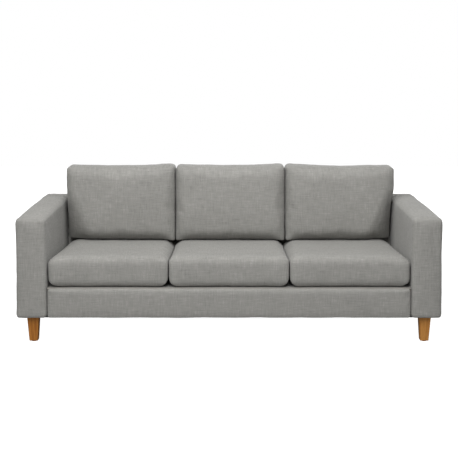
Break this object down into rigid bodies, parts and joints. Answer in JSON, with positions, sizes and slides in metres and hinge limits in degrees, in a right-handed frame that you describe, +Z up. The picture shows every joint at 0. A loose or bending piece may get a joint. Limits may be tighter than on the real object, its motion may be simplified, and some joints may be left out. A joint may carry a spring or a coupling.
{
  "type": "three-seat sofa",
  "caption": "Boxy fabric sofa with straight arms, loose seat and back cushions and short tapered wooden legs.",
  "frame": {"origin": "on the floor, under the middle of the sofa", "axes": "+X along the sofa to the right as seen from in front, +Y from front to back, +Z up"},
  "size_m": [2.12, 0.87, 0.82],
  "materials": {
    "upholstery": "grey melange woven upholstery fabric, matte",
    "deck_cloth": "plain grey lining cloth",
    "dust_cloth": "black non-woven polypropylene",
    "felt": "needled cotton felt",
    "padding": "white polyester wadding",
    "foam": "cream polyurethane foam",
    "carcass_timber": "sawn softwood",
    "hardboard": "brown hardboard",
    "leg_wood": "honey-stained hardwood, satin lacquer",
    "glide_plastic": "black moulded plastic",
    "zinc_steel": "zinc-plated steel",
    "spring_steel": "oiled spring steel"
  },
  "bodies": {
    "sofa_frame": {"arm_bottom_rail_left": "carcass_timber", "arm_bottom_rail_right": "carcass_timber", "arm_cover_left": "upholstery", "arm_cover_right": "upholstery", "arm_front_post_left": "carcass_timber", "arm_front_post_right": "carcass_timber", "arm_inner_board_left": "hardboard", "arm_inner_board_right": "hardboard", "arm_outer_board_left": "hardboard", "arm_outer_board_right": "hardboard", "arm_padding_left": "padding", "arm_padding_right": "padding", "arm_rear_post_left": "carcass_timber", "arm_rear_post_right": "carcass_timber", "arm_top_rail_left": "carcass_timber", "arm_top_rail_right": "carcass_timber", "back_board": "hardboard", "back_bottom_rail": "carcass_timber", "back_centre_post": "carcass_timber", "back_cover": "upholstery", "back_end_post_left": "carcass_timber", "back_end_post_right": "carcass_timber", "back_inner_cover": "upholstery", "back_inner_padding": "padding", "back_padding": "padding", "back_top_rail": "carcass_timber", "dust_cover": "dust_cloth", "frame_bolts": "zinc_steel", "frame_insert_nuts": "zinc_steel", "front_rail_cover": "upholstery", "front_rail_padding": "padding", "leg_bolts": "zinc_steel", "leg_front_left": "leg_wood", "leg_front_right": "leg_wood", "leg_glides": "glide_plastic", "leg_rear_left": "leg_wood", "leg_rear_right": "leg_wood", "leg_tee_nuts": "zinc_steel", "seat_cross_rail_left": "carcass_timber", "seat_cross_rail_right": "carcass_timber", "seat_deck_cloth": "deck_cloth", "seat_end_rail_left": "carcass_timber", "seat_end_rail_right": "carcass_timber", "seat_felt_pad": "felt", "seat_front_rail": "carcass_timber", "seat_rear_rail": "carcass_timber", "seat_springs": "spring_steel", "spring_clips": "spring_steel"},
    "seat_cushion_left": {"seat_cushion_cover_left": "upholstery", "seat_cushion_core_left": "foam"},
    "seat_cushion_centre": {"seat_cushion_cover_centre": "upholstery", "seat_cushion_core_centre": "foam"},
    "seat_cushion_right": {"seat_cushion_cover_right": "upholstery", "seat_cushion_core_right": "foam"},
    "back_cushion_left": {"back_cushion_cover_left": "upholstery", "back_cushion_core_left": "foam"},
    "back_cushion_centre": {"back_cushion_cover_centre": "upholstery", "back_cushion_core_centre": "foam"},
    "back_cushion_right": {"back_cushion_cover_right": "upholstery", "back_cushion_core_right": "foam"}
  },
  "joints": [
    {"name": "seat_cushion_left_pull", "type": "slide", "parent": "sofa_frame", "child": "seat_cushion_left", "axis": [0, -1, 0], "range_m": [0, 0.7]},
    {"name": "seat_cushion_centre_pull", "type": "slide", "parent": "sofa_frame", "child": "seat_cushion_centre", "axis": [0, -1, 0], "range_m": [0, 0.7]},
    {"name": "seat_cushion_right_pull", "type": "slide", "parent": "sofa_frame", "child": "seat_cushion_right", "axis": [0, -1, 0], "range_m": [0, 0.7]},
    {"name": "back_cushion_left_lift", "type": "slide", "parent": "sofa_frame", "child": "back_cushion_left", "axis": [0, 0, 1], "range_m": [0, 0.45]},
    {"name": "back_cushion_centre_lift", "type": "slide", "parent": "sofa_frame", "child": "back_cushion_centre", "axis": [0, 0, 1], "range_m": [0, 0.45]},
    {"name": "back_cushion_right_lift", "type": "slide", "parent": "sofa_frame", "child": "back_cushion_right", "axis": [0, 0, 1], "range_m": [0, 0.45]}
  ]
}
